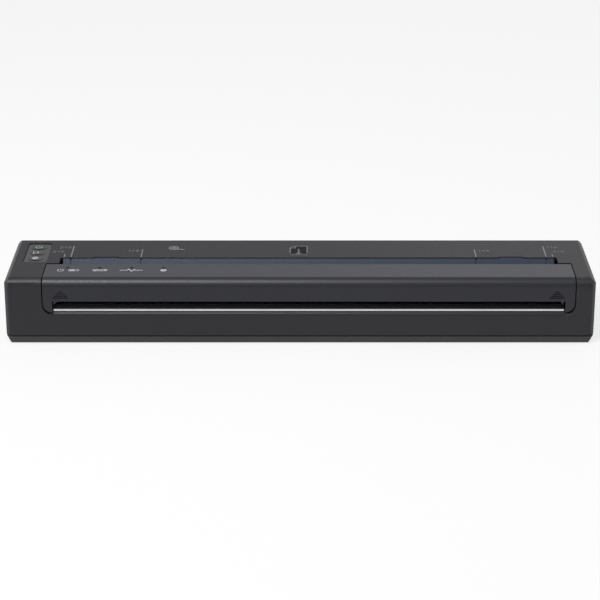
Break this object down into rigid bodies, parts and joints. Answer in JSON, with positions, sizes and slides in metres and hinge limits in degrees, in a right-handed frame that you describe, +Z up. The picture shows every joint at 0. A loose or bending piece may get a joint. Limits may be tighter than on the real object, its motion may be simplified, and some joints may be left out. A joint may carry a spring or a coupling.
{
  "type": "portable thermal printer",
  "caption": "Slim bar-shaped thermal printer for full-width sheets, with a hinged release cover over its platen, a rear feed slot and a front exit slot.",
  "frame": {"origin": "middle of the footprint, on the surface that the rubber feet stand on", "axes": "+X to the user's right along the case, +Y to the rear, +Z up"},
  "size_m": [0.255, 0.055, 0.03],
  "materials": {
    "shell_black": "fine spark-eroded texture, satin sheen",
    "panel_grey": "fine satin grey plastic",
    "chute_grey": "smooth semi-gloss blue-grey plastic",
    "inner_black": "plain moulded black plastic",
    "steel": "zinc-plated sheet and turned steel",
    "stainless": "bright ground stainless strip",
    "aluminium": "extruded bar, natural finish",
    "brass": "machined brass and gold-plated blades",
    "roller_rubber": "ground silicone rubber",
    "foot_rubber": "moulded black rubber",
    "gear_acetal": "moulded acetal, slightly waxy",
    "ceramic": "glazed alumina head strip",
    "board_green": "solder-masked laminate",
    "chip_black": "moulded epoxy packages",
    "connector_ivory": "moulded ivory plastic",
    "cable_white": "flat ribbon cable, matt film",
    "cell_wrap": "shrink-wrapped cells",
    "pack_black": "moulded pack shell",
    "lens_clear": "clear moulded light guides",
    "motor_can": "drawn and plated motor can"
  },
  "bodies": {
    "case": {"upper_case": "shell_black", "lower_case": "shell_black", "key_bezel": "panel_grey", "key_board": "board_green", "key_switches": "steel", "chassis": "steel", "chassis_screws": "steel", "exit_guide": "inner_black", "tear_bar": "stainless", "paper_chute": "chute_grey", "head_pivot_rod": "steel", "head_springs": "steel", "head_cable": "cable_white", "gear_plate": "steel", "gear_studs": "steel", "drive_motor": "motor_can", "motor_screws": "steel", "motor_cable": "cable_white", "inner_frame": "inner_black", "lever_pin": "steel", "sensor_board": "chip_black", "main_board": "board_green", "board_chips": "chip_black", "board_connectors": "connector_ivory", "radio_module": "steel", "board_screws": "steel", "io_board": "board_green", "usb_port": "stainless", "dc_jack": "chip_black", "io_cable": "cable_white", "battery_contacts": "brass", "rubber_feet": "foot_rubber", "case_screws": "steel"},
    "cover": {"release_cover": "shell_black", "cover_frame": "inner_black", "frame_screws": "steel", "hinge_pins": "steel", "indicator_lenses": "lens_clear", "indicator_board": "board_green", "indicator_leds": "connector_ivory", "platen_bushings": "gear_acetal"},
    "platen": {"platen_roller": "roller_rubber", "platen_shaft": "steel", "platen_gear": "gear_acetal"},
    "idler": {"idler_gear": "gear_acetal"},
    "reduction": {"reduction_gear": "gear_acetal"},
    "rotor": {"motor_pinion": "brass", "motor_shaft": "steel"},
    "head": {"print_head": "ceramic", "head_cover": "inner_black", "head_heatsink": "aluminium", "head_connector": "connector_ivory"},
    "paper_lever": {"sensor_lever": "gear_acetal"},
    "power_key": {"power_button": "panel_grey"},
    "feed_key": {"feed_button": "panel_grey"},
    "wireless_key": {"wireless_button": "panel_grey"},
    "door": {"battery_door": "shell_black"},
    "battery": {"battery_case": "pack_black", "battery_cells": "cell_wrap"}
  },
  "joints": [
    {"name": "cover_hinge", "type": "hinge", "parent": "case", "child": "cover", "pos_m": [0, -0.005, 0.0263], "axis": [-1, 0, 0], "range_deg": [0, 65]},
    {"name": "platen_spin", "type": "hinge", "parent": "cover", "child": "platen", "pos_m": [0, -0.016, 0.0216], "axis": [-1, 0, 0], "continuous": true},
    {"name": "idler_spin", "type": "hinge", "parent": "case", "child": "idler", "pos_m": [0, -0.01168, 0.01148], "axis": [-1, 0, 0], "continuous": true},
    {"name": "reduction_spin", "type": "hinge", "parent": "case", "child": "reduction", "pos_m": [0, -0.00223, 0.01049], "axis": [-1, 0, 0], "continuous": true},
    {"name": "motor_spin", "type": "hinge", "parent": "case", "child": "rotor", "pos_m": [0, 0.00817, 0.01195], "axis": [-1, 0, 0], "continuous": true},
    {"name": "head_pivot", "type": "hinge", "parent": "case", "child": "head", "pos_m": [0, -0.0076, 0.01342], "axis": [-1, 0, 0], "range_deg": [-2, 0], "stiffness_Nm_per_rad": 0.4, "springref_deg": 8.59, "deforming": ["head_springs"]},
    {"name": "lever_swing", "type": "hinge", "parent": "case", "child": "paper_lever", "pos_m": [0, -0.0009, 0.0224], "axis": [1, 0, 0], "range_deg": [0, 18], "stiffness_Nm_per_rad": 0.0001, "springref_deg": -11.46},
    {"name": "power_press", "type": "slide", "parent": "case", "child": "power_key", "axis": [0, 0, -1], "range_m": [0, 0.0004], "stiffness_N_per_m": 800},
    {"name": "feed_press", "type": "slide", "parent": "case", "child": "feed_key", "axis": [0, 0, -1], "range_m": [0, 0.0004], "stiffness_N_per_m": 800},
    {"name": "wireless_press", "type": "slide", "parent": "case", "child": "wireless_key", "axis": [0, 0, -1], "range_m": [0, 0.0004], "stiffness_N_per_m": 800},
    {"name": "door_slide", "type": "slide", "parent": "case", "child": "door", "axis": [0, 1, 0], "range_m": [0, 0.032]},
    {"name": "battery_slide", "type": "slide", "parent": "case", "child": "battery", "axis": [0, 1, 0], "range_m": [0, 0.024]}
  ],
  "couplings": [
    {"joint": "idler_spin", "follows": "platen_spin", "ratio": -0.83333},
    {"joint": "reduction_spin", "follows": "platen_spin", "ratio": 1.4286},
    {"joint": "motor_spin", "follows": "platen_spin", "ratio": -3.5714},
    {"joint": "battery_slide", "follows": "door_slide", "ratio": 0.75}
  ]
}
